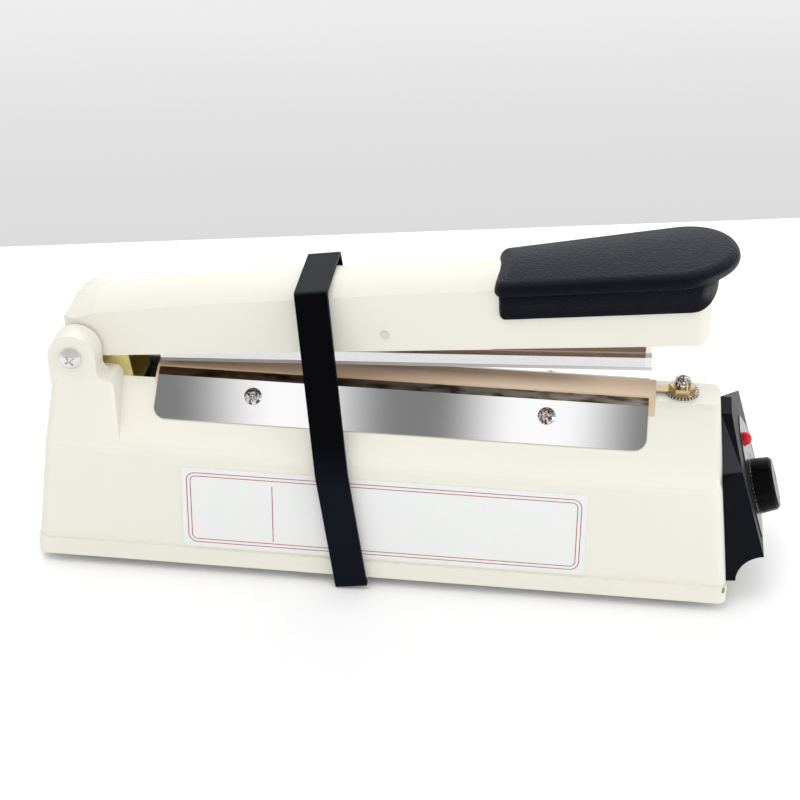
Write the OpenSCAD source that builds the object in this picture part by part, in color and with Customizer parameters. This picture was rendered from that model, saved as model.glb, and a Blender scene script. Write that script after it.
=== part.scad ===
// Hand impulse heat sealer for 200 mm film: a hollow base with the sealing jaw on its ridge,
// a hinged arm that carries the press bar, a timer panel on the end and a transport clip.
// Lengths are in millimetres. The parts are drawn about the middle of the base's bottom edge,
// those of the arm about the hinge with the jaw shut, and both are then set in place.

/* [Base housing] */
// Length of the base over its bottom rim
base_l = 302; // [296:1:312]
// Width of the base over its bottom rim
base_w = 80; // [78:1:88]
// Height of the thick rim round the bottom
rim_h = 8; // [6:0.5:10]
// How far the rim stands out from the walls
rim_out = 1.2; // [0.6:0.1:2]
// Height of the crease where the walls turn into the sloping flanks
crease_z = 57.3; // [54:0.1:59]
// Width of the base at the crease
crease_w = 72; // [70:0.5:75]
// Top of the flat end block, above the rim's underside
end_z = 80; // [79:0.1:80.2]
// Lean of the hinge end's wall, degrees
left_lean = 7; // [5:0.1:8]
// Lean of the panel end's wall, degrees
right_lean = 6.3; // [5:0.1:7]
// Radius of the upright corners
corner_r = 4; // [3:0.5:6]
// Thickness of the moulded walls
wall = 2.6; // [2.2:0.1:3]
// Height of the feet below the rim
foot_h = 4.7; // [3.5:0.1:6]
// Radius of a foot
foot_r = 7; // [5:0.5:9]

/* [Sealing jaw] */
// Height of the sealing surface
jaw_z = 81.1; // [80.8:0.1:82]
// Width of the flat sealing surface
jaw_w = 16; // [14:0.2:17]
// Length along the slope of the shoulder beside the sealing surface
shoulder_l = 4; // [3:0.1:5]
// Slope of the shoulder, degrees
shoulder_a = 29; // [25:1:33]
// Left end of the jaw's cover plates from the base's hinge end
jaw_inset = 52.9; // [52:0.1:55]
// Length of the jaw's cover plates
plate_l = 210.5; // [205:0.5:214]
// Height of the cover plates along the flank below the shoulder
plate_h = 19.7; // [17:0.1:21]
// Thickness of the cover plates
plate_t = 0.5; // [0.4:0.1:0.8]
// Radius of the plates' lower corners
plate_r = 5.5; // [3:0.5:7]
// How far the platform and its cloth run past the plates
jaw_tail = 2.8; // [2:0.1:4]
// Height of the platform bar
platform_h = 4.2; // [3.5:0.1:4.6]
// Thickness of the insulating strip under the element
strip_t = 0.3; // [0.2:0.05:0.4]
// Thickness of the heating element
element_t = 0.2; // [0.1:0.05:0.25]
// Width of the heating element
element_w = 5; // [2:0.5:8]
// Thickness of the cloth over the jaw
cloth_t = 0.2; // [0.15:0.05:0.3]
// Distance between the two screws of a cover plate
plate_screw_gap = 125.8; // [110:0.1:130]
// Radius of a cover plate screw's head
plate_screw_head_r = 3.75; // [3:0.05:4]

/* [Hinge] */
// Hinge axis from the base's hinge end
hinge_inset = 19.7; // [19:0.1:20]
// Height of the hinge axis
hinge_z = 93.5; // [93:0.1:95]
// Radius of the round ear about the hinge bolt
ear_r = 10.4; // [9.5:0.1:10.6]
// Distance from the middle plane to an ear's outer face
ear_out = 27.5; // [26:0.1:28.5]
// Distance from the middle plane to an ear's inner face
ear_in = 16.5; // [16.3:0.1:17.5]
// Radius of the hinge bolt
bolt_r = 2.5; // [2:0.1:3]
// Running clearance of the moving bores round their pins
run_fit = 0.05; // [0.02:0.01:0.1]
// Angle that the arm stands open at rest, degrees
rest_a = 2.87; // [2.4:0.01:3.5]

/* [Arm] */
// Width of the arm
arm_w = 30; // [28:0.2:30]
// Length of the arm from the hinge axis
arm_l = 267.4; // [258:0.1:272]
// How far the nose runs behind the hinge axis
nose_l = 7.6; // [6.5:0.1:8]
// Depth of the arm's wall below the hinge axis
arm_drop = 5.9; // [5.5:0.1:6.5]
// Rise of the arm's lower edge, degrees
lower_a = 2.25; // [2:0.05:2.5]
// Height of the arm's shoulder line over the hinge axis
shoulder_z = 16.15; // [15.5:0.05:17]
// Rise of the arm's shoulder line, degrees
upper_a = 4.06; // [3.8:0.01:4.3]
// Height of the crown above the arm's shoulder line
crown_h = 3.1; // [2:0.1:4]

/* [Press bar] */
// Height of the bright lower band of the press bar
bar_band_h = 4.5; // [4:0.1:5]
// Height of the bar's recessed upper channel
bar_channel_h = 4.6; // [4:0.1:5]
// Width of the press bar
bar_w = 16; // [14:0.2:17]
// Height of the silicone strip under the bar
pad_t = 2.2; // [1.6:0.1:2.6]
// Gap left between the strip and the cloth when the jaw is shut
jaw_gap = 0.3; // [0.2:0.05:0.6]
// Distance of the press bar's pin from the hinge axis
pin_x = 132.9; // [128:0.1:138]
// Height of the press bar's pin above the hinge axis
pin_z = 7.05; // [6.5:0.05:8]
// Radius of the press bar's pin
pin_r = 2; // [1.6:0.1:2.4]

/* [Grip] */
// Start of the grip from the hinge axis
grip_x = 178.6; // [176:0.1:186]
// Length of the grip's top slab
grip_l = 99.3; // [92:0.1:102]
// Width of the slab at its rear end
grip_w0 = 38; // [36:0.5:42]
// Width of the slab at its widest
grip_w1 = 49; // [44:0.5:52]
// Thickness of the grip's skirt
grip_t = 2; // [1.6:0.1:2.4]

/* [Control panel] */
// Lean of the panel's face, degrees
face_a = 17; // [15:0.1:18]
// How far the panel's foot stands out from the end wall
panel_d = 16.4; // [15:0.1:18]
// Height of the panel's top
panel_top = 75.1; // [74:0.1:77]
// Height of the knob's centre
knob_z = 35; // [34:0.1:37]
// Radius of the knob
knob_r = 12.2; // [10:0.1:13]
// Thickness of the knob
knob_h = 8.4; // [6:0.1:9]
// Height of the indicator lamp's centre
lamp_z = 58.5; // [57:0.1:60]
// Radius of the indicator lamp
lamp_r = 2.7; // [2:0.1:3]

/* [Transport clip] */
// Width of the clip's strap
clip_w = 14; // [10:0.5:18]
// Thickness of the strap
clip_t = 1.5; // [1.2:0.1:2]
// Middle of the clip from the hinge axis, along the arm
clip_x = 103.5; // [95:0.5:112]
// Lean of the clip from square to the arm's top, degrees
clip_lean = 1.5; // [0:0.1:1.5]
// Gap between the clip's toe and the table
clip_clear = 0.6; // [0.5:0.1:1.5]
// Gap between the clip's toe and the face of the rim beside it
clip_rim_gap = 0.5; // [0.4:0.1:1]

/* [Label] */
// Length of the blank label plate
label_l = 174.5; // [150:0.5:180]
// Height of the blank label plate
label_h = 39.5; // [30:0.5:42]
// Left edge of the label from the base's hinge end
label_inset = 66.3; // [65:0.1:81]

/* [Hidden] */
$fn = 48;

ivory = [0.93, 0.91, 0.84];
charcoal = [0.09, 0.09, 0.10];
steel = [0.75, 0.76, 0.78];
brass = [0.80, 0.62, 0.28];
zinc = [0.80, 0.72, 0.38];
slit = 0.02;            // thin slice that a hull spans from
hole_fit = 0.15;        // radial clearance of a hole round a fixed screw
snug = 0.02;            // radial gap of a hole round a pressed pin
hull_fn = 32;           // facets of a disc inside a hull
past = 1;               // how far a cut runs past the face it opens

half_l = base_l / 2;
half_w = base_w / 2;
hinge_x = hinge_inset - half_l;
jaw_left = jaw_inset - half_l;
label_x = label_inset - half_l;

// Walls of the base at a height above the rim's underside
function left_wall_x(z) = rim_out / 2 - half_l + max(z - rim_h, 0) * tan(left_lean);
function right_wall_x(z) = half_l - rim_out / 2 - max(z - rim_h, 0) * tan(right_lean);
wall_rise = (half_w - rim_out - crease_w / 2) / (crease_z - rim_h);
function wall_y(z) = crease_w / 2 + (crease_z - z) * wall_rise;

// Cross-section of the base: flat jaw, shoulder, flank, crease and wall
stack_t = strip_t + element_t + cloth_t;
platform_z = jaw_z - stack_t;
shoulder_y = jaw_w / 2 + shoulder_l * cos(shoulder_a);
shoulder_top = platform_z - shoulder_l * sin(shoulder_a);
flank_a = atan2(shoulder_top - crease_z, crease_w / 2 - shoulder_y);
deck_z = platform_z - platform_h;
function flank_y(z) = crease_w / 2 - (z - crease_z) / tan(flank_a);
function shoulder_at(z) = shoulder_y - (z - shoulder_top) / tan(shoulder_a);

// Ends of the jaw
jaw_overhang = 1.2;
jaw_start = jaw_left - jaw_overhang;
jaw_end = jaw_left + plate_l + jaw_tail;
jaw_mid = jaw_left + plate_l / 2;

// Panel face, leaning back; the whole outline is centred over the origin
face_foot_z = 20.8;
face_foot_x = right_wall_x(face_foot_z) + panel_d;
function face_x(z) = face_foot_x - (z - face_foot_z) * tan(face_a);
dial_t = 0.5;
knob_gap = 0.3;
knob_tip_x = face_x(knob_z) + (dial_t + knob_gap + knob_h) * cos(face_a) + knob_r * sin(face_a);
mid_x = (knob_tip_x - half_l) / 2;

// Helpers ------------------------------------------------------------------------------
function arc(c, r, a0, a1, n = 8) =
    [for (i = [0 : n]) c + r * [cos(a0 + (a1 - a0) * i / n), sin(a0 + (a1 - a0) * i / n)]];

module rounded_rect(size, r) {
    polygon(concat(
        arc([size[0] - r, size[1] - r], r, 0, 90),
        arc([r, size[1] - r], r, 90, 180),
        arc([r, r], r, 180, 270),
        arc([size[0] - r, r], r, 270, 360)));
}

module rounded_block(size, r) {
    linear_extrude(size[2]) rounded_rect([size[0], size[1]], r);
}

// Outline in y and up, mirrored from its right half and extruded along x
module along(x0, x1) {
    translate([x0, 0, 0]) rotate([90, 0, 90]) linear_extrude(x1 - x0) children();
}

// Outline in x and up, extruded across from y0 to y1
module across(y0, y1) {
    translate([0, y1, 0]) rotate([90, 0, 0]) linear_extrude(y1 - y0) children();
}

module symmetric(half) {
    polygon(concat(half, [for (i = [len(half) - 1 : -1 : 0]) [-half[i][0], half[i][1]]]));
}

module both_sides() {
    for (side = [0, 1]) mirror([0, side, 0]) children();
}

// Round bar across the middle plane
module cross_pin(x, z, y0, y1, r) {
    translate([x, y1, z]) rotate([90, 0, 0]) cylinder(r = r, h = y1 - y0);
}

module hex_block(across_flats, h) {
    cylinder(r = across_flats / sqrt(3), h = h, $fn = 6);
}

// Domed head with a cross recess, seated on z = 0
module pan_head(r, h) {
    dome_r = 1.5 * r;
    difference() {
        intersection() {
            cylinder(r = r, h = h);
            translate([0, 0, h - dome_r]) sphere(r = dome_r);
        }
        for (turn = [0, 90]) rotate([0, 0, turn])
            translate([-0.55 * r, -0.1 * r, 0.5 * h]) cube([1.1 * r, 0.2 * r, h]);
    }
}

// Screw with its head seated on z = 0 and its shank below
module pan_screw(head_r, head_h, shank_r, shank_l) {
    pan_head(head_r, head_h);
    translate([0, 0, -shank_l]) cylinder(r = shank_r, h = shank_l);
}

// Frames -------------------------------------------------------------------------------
module in_frame() {
    translate([-mid_x, 0, foot_h]) children();
}

// Drawn about the hinge axis with the jaw shut, and set with the arm at rest
module on_arm() {
    in_frame() translate([hinge_x, 0, hinge_z]) rotate([0, -rest_a, 0]) children();
}

// On the front flank: x along the base, y up the slope from the shoulder, z outwards
module on_flank(x, down, out) {
    translate([x, -shoulder_y, shoulder_top]) rotate([flank_a, 0, 0])
        translate([0, -down, out]) children();
}

// On the panel's face: x outwards, z up the slope
module on_face(y, z, out) {
    translate([face_x(z), y, z]) rotate([0, -face_a, 0]) translate([out, 0, 0]) children();
}

// On the end wall behind the panel: x outwards
module on_end_wall(y, z) {
    translate([right_wall_x(z), y, z]) rotate([0, -right_lean, 0]) children();
}

foot_inset_x = 22;
foot_inset_y = 15;
module at_feet() {
    for (sx = [-1, 1], sy = [-1, 1])
        translate([sx * (half_l - foot_inset_x), sy * (half_w - foot_inset_y), 0]) children();
}

plate_screw_down = 7.1;
module at_plate_screws() {
    for (end = [-1, 1]) both_sides()
        on_flank(jaw_mid + end * plate_screw_gap / 2, plate_screw_down, cloth_t + plate_t) children();
}

terminal_gap = 11.1;     // from the jaw's end to the middle of the terminal
terminal_x = jaw_end + terminal_gap;
left_terminal_z = 64;
washer_r = 7.2;
washer_t = platform_z + strip_t + element_t - end_z;
tab_t = 0.6;
nut_h = 2.2;
collar_r = 3.6;
collar_h = 1.8;
// Each terminal's frame stands on the element's face and looks away from the housing
module at_right_terminal() {
    translate([terminal_x, 0, end_z + washer_t]) children();
}
module at_left_terminal() {
    translate([jaw_start - element_t, 0, left_terminal_z]) rotate([0, -90, 0]) children();
}
module at_terminals() {
    at_right_terminal() children();
    at_left_terminal() children();
}

// Base ---------------------------------------------------------------------------------
crease_blend = 5;       // height over which the crease is rounded, each way
function crease_y(t) =
    (1 - t) * (1 - t) * wall_y(crease_z - crease_blend) + t * (1 - t) * crease_w
    + t * t * flank_y(crease_z + crease_blend);

// Four corner discs of the housing's outer form, drawn in by an inset
module level(z, y, inset) {
    r = max(corner_r - inset, 1);
    for (side = [-1, 1], end = [left_wall_x(z) + inset + r, right_wall_x(z) - inset - r])
        translate([end, side * (y - r), z - slit]) cylinder(r = r, h = slit, $fn = hull_fn);
}

module base_form() {
    hull() {
        level(rim_h, wall_y(rim_h), 0);
        for (t = [0 : 0.25 : 1]) level(crease_z + (2 * t - 1) * crease_blend, crease_y(t), 0);
        level(shoulder_top, shoulder_y, 0);
        level(end_z, shoulder_at(end_z), 0);
    }
}

cavity_top = deck_z - wall;
module base_cavity() {
    hull() {
        level(-past, wall_y(rim_h) - wall, wall);
        level(rim_h, wall_y(rim_h) - wall, wall);
        level(crease_z - wall / 2, crease_w / 2 - wall, wall);
        level(cavity_top, flank_y(cavity_top) - wall / sin(flank_a), wall);
    }
}

block_z = 83.4;         // top of the block that carries an ear
block_top_x = hinge_x + 17.6;
block_foot_x = hinge_x + 20.6;
block_round = 3.5;
well_y = 12.4;          // half width of the well that the lever moves in
well_left = hinge_x + 0.5;
module ear_block() {
    foot_z = crease_z - crease_blend;
    hull() {
        for (y = [well_y, wall_y(foot_z)]) translate([0, y, foot_z]) {
            inward = y > well_y ? -1 : 1;
            translate([left_wall_x(foot_z) + corner_r, inward * corner_r, 0])
                cylinder(r = corner_r, h = slit, $fn = hull_fn);
            translate([block_foot_x - past, inward * past, 0]) cylinder(r = past, h = slit, $fn = hull_fn);
        }
        for (y = [well_y, ear_out]) translate([0, y, block_z - slit]) {
            inward = y > well_y ? -1 : 1;
            translate([left_wall_x(block_z) + corner_r, inward * corner_r, 0])
                cylinder(r = corner_r, h = slit, $fn = hull_fn);
        }
        cross_pin(block_top_x - block_round, block_z - block_round, well_y, ear_out, block_round, $fn = hull_fn);
    }
}

// Round ear with a hollow fillet that runs out on the block
ear_fillet = 4;
module ear_round() {
    foot_x = hinge_x + ear_r + ear_fillet;
    across(ear_in, ear_out) polygon(concat(
        arc([hinge_x, hinge_z], ear_r, 0, 180, 24),
        [[left_wall_x(block_z - block_round), block_z - block_round], [foot_x, block_z - block_round]],
        arc([foot_x, block_z + ear_fillet], ear_fillet, 270, 180)));
}

plate_seat = 2;         // underside of the bottom plate above the rim's edge
bottom_t = 1.2;
floor_z = plate_seat + bottom_t;
plate_inset = rim_out + wall;
shelf_top = 50.5;
shelf_t = 2.4;
post_r = 4;
screw_r = 1.4;
module base_inside() {
    intersection() {
        base_form();
        union() {
            at_feet() translate([0, 0, floor_z]) cylinder(r = post_r, h = end_z);
            translate([left_wall_x(shelf_top), -half_w, shelf_top - shelf_t])
                cube([jaw_start + wall - left_wall_x(shelf_top), base_w, shelf_t]);
            translate([jaw_start, -half_w, shelf_top - shelf_t]) cube([wall, base_w, end_z]);
            for (x = [-50, 40]) translate([x, -half_w, crease_z + 4]) cube([2, base_w, end_z]);
        }
    }
}

window_y = 14;
window_low = 25;
window_high = 66;
grommet_z = 22;
grommet_r = 5;
module base_housing() color(ivory) in_frame() difference() {
    union() {
        difference() {
            union() {
                base_form();
                translate([-half_l, -half_w, 0]) rounded_block([base_l, base_w, rim_h], corner_r);
                both_sides() ear_block();
                both_sides() ear_round();
            }
            base_cavity();
        }
        base_inside();
    }
    translate([plate_inset - half_l, plate_inset - half_w, -past])
        rounded_block([base_l - 2 * plate_inset, base_w - 2 * plate_inset, floor_z + past], corner_r - 1);
    translate([jaw_start, -half_w, deck_z]) cube([jaw_end - jaw_start, base_w, end_z]);
    translate([well_left, -well_y, shelf_top]) cube([jaw_start - well_left, 2 * well_y, end_z]);
    both_sides() cross_pin(hinge_x, hinge_z, ear_in - past, ear_out + past, bolt_r + hole_fit);
    at_feet() cylinder(r = screw_r, h = post_l);
    at_plate_screws() translate([0, 0, -plate_screw_l - past]) cylinder(r = screw_r, h = plate_screw_l + past);
    at_right_terminal() translate([0, 0, -terminal_l - past]) cylinder(r = terminal_r, h = terminal_l + past);
    at_left_terminal() {
        translate([0, 0, -terminal_l]) cylinder(r = terminal_r, h = terminal_l + past);
        translate([0, 0, -washer_t]) cylinder(r = washer_r + hole_fit, h = washer_t + past);
    }
    translate([half_l - 20, -window_y, window_low]) cube([30, 2 * window_y, window_high - window_low]);
    for (side = [-1, 1]) on_end_wall(side * panel_screw_y, panel_screw_z)
        rotate([0, -90, 0]) cylinder(r = screw_r + hole_fit, h = 3 * wall, center = true);
    translate([left_wall_x(grommet_z), 0, grommet_z]) rotate([0, left_lean - 90, 0])
        cylinder(r = grommet_r, h = 4 * wall, center = true);
}
post_l = 20;
plate_screw_l = 8;
terminal_l = 7;
terminal_r = 1.9;

plate_gap = 0.2;
board_stand = 6;
module bottom_plate() color(steel) in_frame() {
    inset = plate_inset + plate_gap;
    difference() {
        translate([inset - half_l, inset - half_w, plate_seat])
            rounded_block([base_l - 2 * inset, base_w - 2 * inset, bottom_t], corner_r - 1 - plate_gap);
        at_feet() cylinder(r = screw_r + hole_fit, h = 2 * floor_z);
        for (i = [-4 : 4]) translate([vent_mid + i * vent_pitch, -vent_l / 2, 0])
            rounded_block([vent_w, vent_l, 2 * floor_z], vent_w / 2 - slit);
    }
    at_board_corners() translate([0, 0, floor_z]) cylinder(r = 2.5, h = board_stand);
}
vent_mid = -90;
vent_pitch = 7;
vent_l = 30;
vent_w = 3;

module rubber_feet() color(charcoal) in_frame() at_feet() difference() {
    translate([0, 0, -foot_h]) cylinder(r1 = foot_r - 0.8, r2 = foot_r, h = foot_h + plate_seat);
    translate([0, 0, -foot_h - past]) cylinder(r = foot_r / 2, h = foot_h);
    translate([0, 0, -foot_h]) cylinder(r = screw_r + hole_fit, h = 2 * foot_h + plate_seat);
}

module bottom_screws() color(steel) in_frame() at_feet()
    translate([0, 0, -past]) mirror([0, 0, 1]) pan_screw(2.8, 1.8, screw_r - snug, post_l - 4);

// Sealing jaw --------------------------------------------------------------------------
// Right half of the jaw's outline, raised by a thickness, down to a distance along the flank
function jaw_half(out, down) = let (
        bend_a = (shoulder_a + flank_a) / 2,
        bend_out = out / cos((flank_a - shoulder_a) / 2),
        foot = [shoulder_y + down * cos(flank_a), shoulder_top - down * sin(flank_a)])
    [[jaw_w / 2 + out * sin(shoulder_a), platform_z + out * cos(shoulder_a)],
        [shoulder_y + bend_out * sin(bend_a), shoulder_top + bend_out * cos(bend_a)],
        [foot[0] + out * sin(flank_a), foot[1] + out * cos(flank_a)]];

module seal_platform() color(steel) in_frame() along(jaw_start, jaw_end) symmetric([
    [jaw_w / 2, platform_z], [shoulder_y, shoulder_top], [flank_y(deck_z), deck_z],
    [jaw_w / 4, deck_z], [jaw_w / 4, deck_z + platform_h / 3]]);

strip_margin = 1;
module insulation_strip() color("sienna") in_frame()
    translate([jaw_start, strip_margin - jaw_w / 2, platform_z])
        cube([jaw_end - jaw_start, jaw_w - 2 * strip_margin, strip_t]);

// Ribbon over the strip, turned down over the jaw's left end
element_end = terminal_x - washer_r - 0.1;
module heating_element() color(brass) in_frame() {
    low = left_terminal_z + washer_r + 1;
    translate([jaw_start - element_t, -element_w / 2, platform_z + strip_t])
        cube([element_end - jaw_start + element_t, element_w, element_t]);
    translate([jaw_start - element_t, -element_w / 2, low])
        cube([element_t, element_w, platform_z + strip_t - low]);
}

tab_w = 5;
module tab(reach) {
    difference() {
        union() {
            cylinder(r = 0.8 * washer_r, h = tab_t);
            translate([-reach, -tab_w / 2, 0]) cube([reach, tab_w, tab_t]);
        }
        translate([0, 0, -past]) cylinder(r = terminal_r + snug, h = tab_t + 2 * past);
    }
}

module element_tabs() color(brass) in_frame() {
    at_right_terminal() tab(terminal_x - jaw_end - 0.3);
    at_left_terminal() rotate([0, 0, 180]) tab(washer_r + 4);
}

module terminal_washers() color(steel) in_frame() at_terminals() difference() {
    translate([0, 0, -washer_t]) cylinder(r = washer_r, h = washer_t);
    translate([0, 0, -washer_t - past]) cylinder(r = terminal_r + snug, h = washer_t + 2 * past);
}

module terminal_nuts() color(brass) in_frame() at_terminals() difference() {
    translate([0, 0, tab_t]) hex_block(10, nut_h);
    cylinder(r = terminal_r + snug, h = 2 * nut_h);
}

module terminal_screws() color(steel) in_frame() at_terminals()
    translate([0, 0, tab_t + nut_h]) {
        cylinder(r = collar_r, h = collar_h);
        translate([0, 0, collar_h])
            pan_screw(3.2, 2.4, terminal_r - snug, collar_h + nut_h + tab_t + terminal_l - past);
    }

cloth_down = 4;         // how far the cloth reaches down behind the plates
module ptfe_cloth() color([0.72, 0.58, 0.44]) in_frame() {
    inner = jaw_half(slit / 4, cloth_down);
    outer = jaw_half(cloth_t, cloth_down);
    lift = strip_t + element_t;
    edge = jaw_w / 2 - strip_margin;
    along(jaw_start, jaw_end) symmetric(concat(
        [[edge, jaw_z]],
        outer,
        [inner[2], inner[1], inner[0], [edge, platform_z + lift]]));
}

// Plate folded over the shoulder, its lower corners rounded
module cover_plate() {
    difference() {
        intersection() {
            along(jaw_left, jaw_left + plate_l) polygon([for (p = concat(jaw_half(cloth_t + slit, plate_h),
                [for (i = [2 : -1 : 0]) jaw_half(cloth_t + plate_t, plate_h)[i]])) [-p[0], p[1]]]);
            on_flank(jaw_left, plate_h, -past) linear_extrude(2 * shoulder_l)
                polygon(concat(arc([plate_r, plate_r], plate_r, 180, 270),
                    arc([plate_l - plate_r, plate_r], plate_r, 270, 360),
                    [[plate_l, 2 * plate_h], [0, 2 * plate_h]]));
        }
        for (end = [-1, 1])
            on_flank(jaw_mid + end * plate_screw_gap / 2, plate_screw_down, 0)
                cylinder(r = screw_r + hole_fit, h = 3 * plate_t);
    }
}

module front_cover_plate() color(steel) in_frame() cover_plate();
module rear_cover_plate() color(steel) in_frame() mirror([0, 1, 0]) cover_plate();

module cover_plate_screws() color(steel) in_frame() at_plate_screws()
    pan_screw(plate_screw_head_r, 1.9, screw_r - snug, plate_screw_l - past);

// Hinge --------------------------------------------------------------------------------
bolt_nut_h = 4;
module hinge_bolt() color(steel) in_frame() {
    translate([hinge_x, -ear_out, hinge_z]) rotate([90, 0, 0]) rotate([0, 0, 35]) pan_head(1.8 * bolt_r, 1.3 * bolt_r);
    cross_pin(hinge_x, hinge_z, -ear_out, ear_out + bolt_nut_h + 1, bolt_r);
}

module hinge_nut() color(steel) in_frame() translate([hinge_x, ear_out, hinge_z]) rotate([-90, 0, 0]) difference() {
    hex_block(3.2 * bolt_r, bolt_nut_h);
    translate([0, 0, -past]) cylinder(r = bolt_r + snug, h = bolt_nut_h + 2 * past);
}

washer_play = 0.12;
module hinge_washers() color(steel) in_frame() both_sides() difference() {
    cross_pin(hinge_x, hinge_z, arm_w / 2 + washer_play, ear_in - washer_play, 2.2 * bolt_r);
    cross_pin(hinge_x, hinge_z, 0, ear_out, bolt_r + hole_fit / 2);
}

// Arm ----------------------------------------------------------------------------------
function lower_z(x) = x * tan(lower_a) - arm_drop;
function shoulder_line(x) = shoulder_z + x * tan(upper_a);
tail_x = grip_x + 2;    // the arm loses its crown where it enters the grip
tail_drop = 0.4;
end_round = 5;

module arm_side() {
    top = crown_h + past;
    polygon(concat(
        arc([3 - nose_l, lower_z(3 - nose_l) + 3], 3, 180, 270),
        arc([arm_l - end_round, lower_z(arm_l - end_round) + end_round], end_round, 270, 360),
        [[arm_l, shoulder_line(arm_l) - tail_drop], [tail_x, shoulder_line(tail_x) - tail_drop],
            [tail_x, shoulder_line(tail_x) + top], [6.5, shoulder_line(6.5) + crown_h - 0.4]],
        arc([6 - nose_l, 7.5], 6, 125, 180)));
}

// Crowned section, square to the arm's top
crown_r = (arm_w * arm_w / 4 + crown_h * crown_h) / (2 * crown_h);
crown_a = asin(arm_w / 2 / crown_r);
module arm_section(spread) {
    crown = arc([0, crown_h - crown_r], crown_r, 90 - spread * crown_a, 90 + spread * crown_a, 16);
    polygon(concat([[crown[0][0], -2 * arm_w]], crown, [[-crown[0][0], -2 * arm_w]]));
}

plan_round = 6;
nose_round = 9;
module arm_form() {
    intersection() {
        across(-arm_w / 2, arm_w / 2) arm_side();
        translate([0, 0, shoulder_z]) rotate([0, -upper_a, 0]) along(-2 * nose_l, 1.2 * arm_l) arm_section(1);
        arm_droop(55, 2.2);
        arm_droop(16.5, 12);
        arm_plan();
    }
}

// The top falls from a start along the arm, by some degrees more than the shoulder line
module arm_droop(start, lean) {
    translate([start, 0, shoulder_line(start)]) rotate([0, -upper_a - lean, 0])
        along(-start - 2 * nose_l, 1.2 * arm_l) arm_section(1.15);
}

module arm_plan() {
    front = [arm_l - plan_round, arm_w / 2 - plan_round];
    rear = [nose_round - nose_l, arm_w / 2 - nose_round];
    translate([0, 0, -arm_w]) linear_extrude(4 * arm_w) polygon(concat(
        arc(front, plan_round, 0, 90),
        arc(rear, nose_round, 90, 180),
        arc([rear[0], -rear[1]], nose_round, 180, 270),
        arc([front[0], -front[1]], plan_round, 270, 360)));
}

channel_y = arm_w / 2 - wall;
rib_low = 2.6;
module arm_shell() color(ivory) on_arm() difference() {
    union() {
        difference() {
            arm_form();
            across(-channel_y, channel_y) polygon([
                [wall - nose_l, -arm_w], [arm_l - wall, -arm_w],
                [arm_l - wall, shoulder_line(arm_l) - wall], [wall - nose_l, shoulder_line(-nose_l) - 3 * wall]]);
        }
        for (x = rib_places) translate([x, -channel_y - slit, rib_low])
            cube([1.6, 2 * channel_y + 2 * slit, shoulder_line(x) - rib_low - wall / 2]);
    }
    cross_pin(0, 0, -arm_w, arm_w, bolt_r + run_fit);
    cross_pin(pin_x, pin_z, -arm_w, arm_w, pin_r + snug);
}
rib_places = [60, 100, 166, 204, 240];

lever_t = 1.2;
lever_low = -24;
lever_left = 5;
lever_right = 20.2;     // right edge of the lever at the arm's lower edge
lever_out = channel_y - 0.1;
module lever_bracket() color(zinc) on_arm() difference() {
    union() {
        both_sides() across(lever_out - lever_t, lever_out) polygon(concat(
            arc([0, 0], 4.7, 90, 250, 12),
            [[lever_left, lever_low], [lever_right + 2, lever_low], [lever_right, -7], [lever_right, 8]]));
        translate([lever_left, -lever_out, lever_low - lever_t]) cube([lever_right + 2 - lever_left, 2 * lever_out, lever_t]);
    }
    cross_pin(0, 0, -arm_w, arm_w, bolt_r + run_fit);
}

// Grip ---------------------------------------------------------------------------------
grip_rise = 6.5;        // rise of the grip's top, degrees
grip_edge = 32.7;       // height of the slab's edge at its rear end
slab_end = grip_x + grip_l;
lip_t = 8;              // thickness of the slab's rounded lip at its front end
lip_crown = 1.5;        // rise of the slab's middle over its edges
// Slab like a tongue: a flat round front end drawn out to a narrower, thinner rear edge
module grip_slab() {
    end_r = grip_w1 / 2;
    edge_r = 0.15 * lip_t;
    lip_top = 0.42 * lip_t;
    lip_in = 0.35 * lip_t;
    dome_r = end_r - lip_in;
    translate([grip_x, 0, grip_edge]) rotate([0, -grip_rise, 0]) hull() {
        translate([grip_l / cos(grip_rise) - end_r, 0, 0]) rotate_extrude($fn = 2 * hull_fn) polygon(concat(
            [for (t = [0 : 0.2 : 0.8]) [t * dome_r, lip_crown * (1 - t * t)]],
            [for (a = [75 : -15 : 0]) [dome_r + lip_in * cos(a), lip_top * (sin(a) - 1)]],
            [for (a = [-15 : -15 : -75]) [dome_r + lip_in * cos(a), (lip_t - lip_top) * sin(a) - lip_top]],
            [[dome_r, -lip_t], [0, -lip_t]]));
        both_sides() translate([edge_r, grip_w0 / 2 - edge_r, -edge_r]) sphere(r = edge_r, $fn = hull_fn);
        cross_pin(edge_r, lip_crown - edge_r, -edge_r, edge_r, edge_r, $fn = hull_fn);
    }
}

skirt_y = arm_w / 2 + grip_t;
skirt_end = slab_end - 8;
module skirt_side() {
    low = grip_edge - 16.3;
    far_low = low + 4.1;
    round_r = 19;
    polygon(concat(
        [[grip_x + 2.4, grip_edge - 2], [grip_x + 3.2, low + 3]],
        arc([grip_x + 6, low + 3], 3, 200, 270),
        arc([skirt_end - round_r, far_low + round_r], round_r, 275, 360),
        [[skirt_end, grip_edge + (skirt_end - grip_x) * tan(grip_rise) - lip_t / 4]]));
}

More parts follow.
